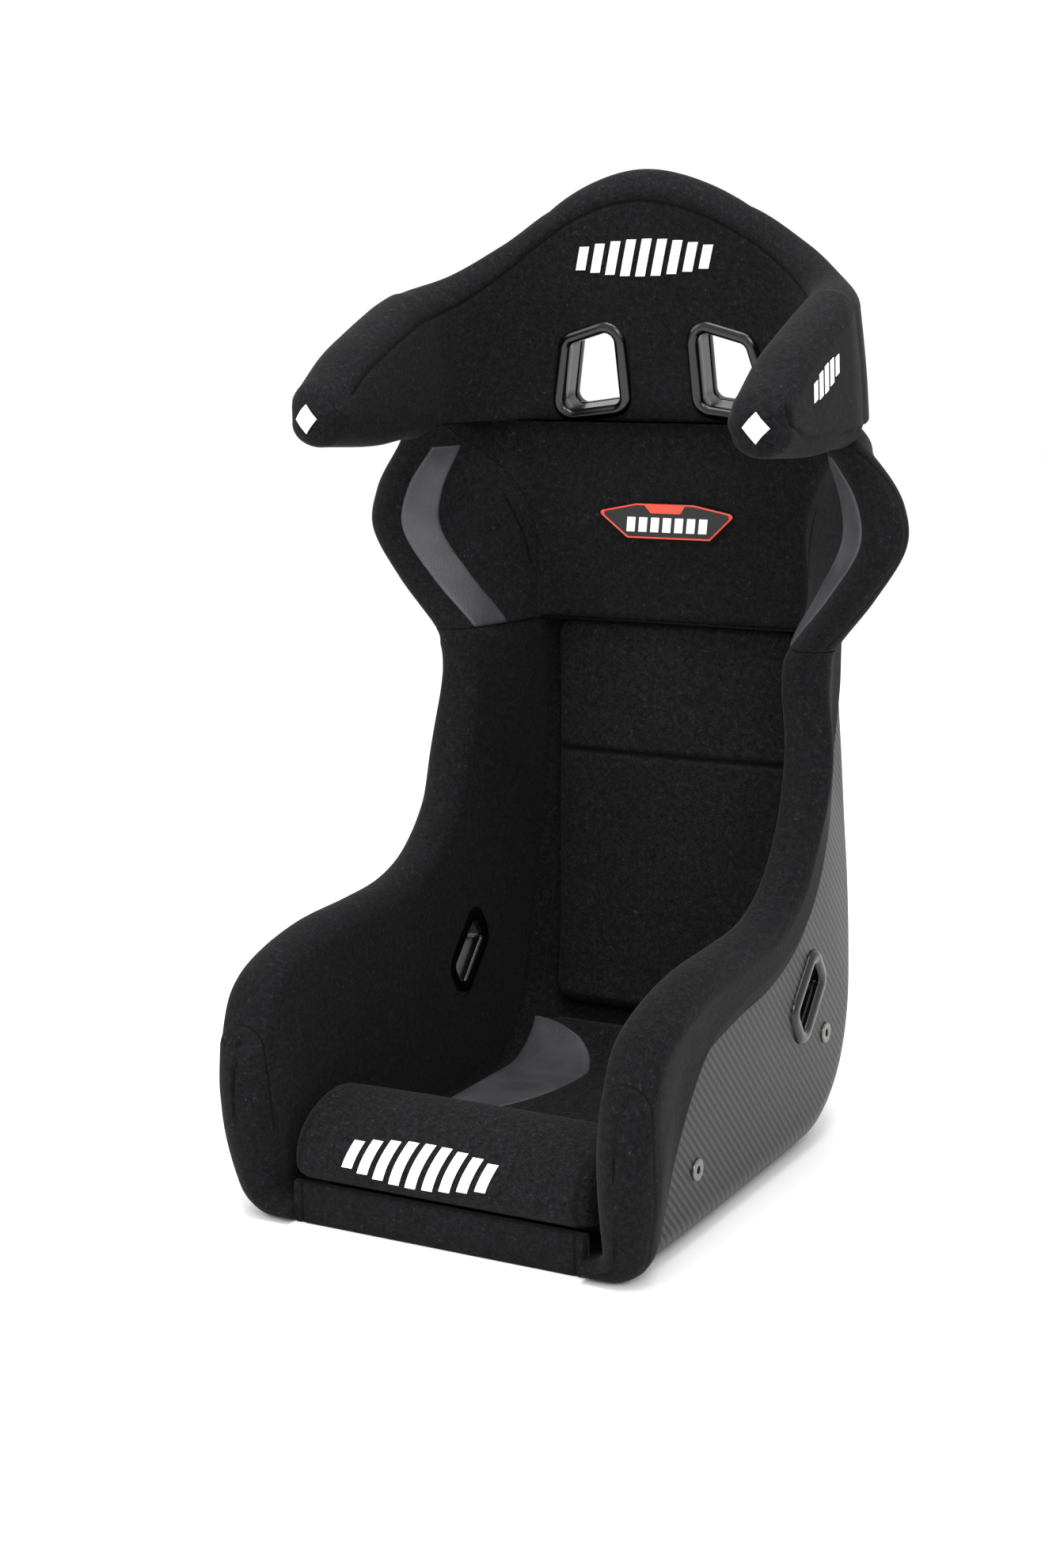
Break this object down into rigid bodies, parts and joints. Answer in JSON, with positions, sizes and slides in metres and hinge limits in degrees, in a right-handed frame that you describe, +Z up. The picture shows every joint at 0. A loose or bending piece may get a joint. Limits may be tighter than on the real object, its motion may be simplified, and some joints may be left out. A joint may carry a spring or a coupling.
{
  "type": "racing seat",
  "caption": "Fixed-back motorsport bucket seat with a composite shell, head restraint wings, padded side supports, harness slots and lift-off cushions.",
  "frame": {"origin": "bottom centre of the whole seat's box, on the surface that it stands on", "axes": "+X to the driver's left (the viewer's right from the front), -Y to the front of the seat, +Z up"},
  "size_m": [0.5484, 0.5488, 0.9224],
  "materials": {
    "carbon_shell": "clear-lacquered 2x2 twill carbon laminate",
    "fuzzy_knit": "short-pile flame-retardant knit over foam",
    "grip_cloth": "dotted anti-slip cloth",
    "gloss_bezel": "moulded gloss black",
    "insert_steel": "turned and zinc plated",
    "badge": "moulded badge with a raised rim",
    "hook_tape": "hook-and-loop tape"
  },
  "bodies": {
    "seat": {"shell": "carbon_shell", "head_restraint_pad": "fuzzy_knit", "upper_back_pad": "fuzzy_knit", "thigh_bolster_right": "fuzzy_knit", "thigh_bolster_left": "fuzzy_knit", "shoulder_bolster_right": "fuzzy_knit", "shoulder_bolster_left": "fuzzy_knit", "pan_lining": "fuzzy_knit", "back_lining": "fuzzy_knit", "front_apron": "fuzzy_knit", "shoulder_grip_right": "grip_cloth", "shoulder_grip_left": "grip_cloth", "shoulder_slot_bezel_right": "gloss_bezel", "shoulder_slot_bezel_left": "gloss_bezel", "shoulder_slot_back_bezel_right": "gloss_bezel", "shoulder_slot_back_bezel_left": "gloss_bezel", "lap_slot_bezel_inner_right": "gloss_bezel", "lap_slot_bezel_inner_left": "gloss_bezel", "lap_slot_bezel_outer_right": "gloss_bezel", "lap_slot_bezel_outer_left": "gloss_bezel", "crotch_slot_bezel": "gloss_bezel", "side_mount_insert_rear_right": "insert_steel", "side_mount_insert_rear_left": "insert_steel", "side_mount_insert_front_right": "insert_steel", "side_mount_insert_front_left": "insert_steel", "badge_plate": "badge", "back_hook_strip_right": "hook_tape", "back_hook_strip_left": "hook_tape", "seat_hook_strip_right": "hook_tape", "seat_hook_strip_left": "hook_tape", "thigh_hook_strip_right": "hook_tape", "thigh_hook_strip_left": "hook_tape"},
    "back_cushion_body": {"back_cushion": "fuzzy_knit"},
    "seat_cushion_body": {"seat_cushion": "fuzzy_knit", "seat_grip_right": "grip_cloth", "seat_grip_left": "grip_cloth"},
    "thigh_cushion_body": {"thigh_cushion": "fuzzy_knit"}
  },
  "joints": [
    {"name": "back_cushion_lift", "type": "slide", "parent": "seat", "child": "back_cushion_body", "axis": [0, -0.9903, 0.1392], "range_m": [0, 0.62]},
    {"name": "seat_cushion_lift", "type": "slide", "parent": "seat", "child": "seat_cushion_body", "axis": [0, -0.2588, 0.9659], "range_m": [0, 0.18]},
    {"name": "thigh_cushion_lift", "type": "slide", "parent": "seat", "child": "thigh_cushion_body", "axis": [0, -0.342, 0.9397], "range_m": [0, 0.18]}
  ]
}
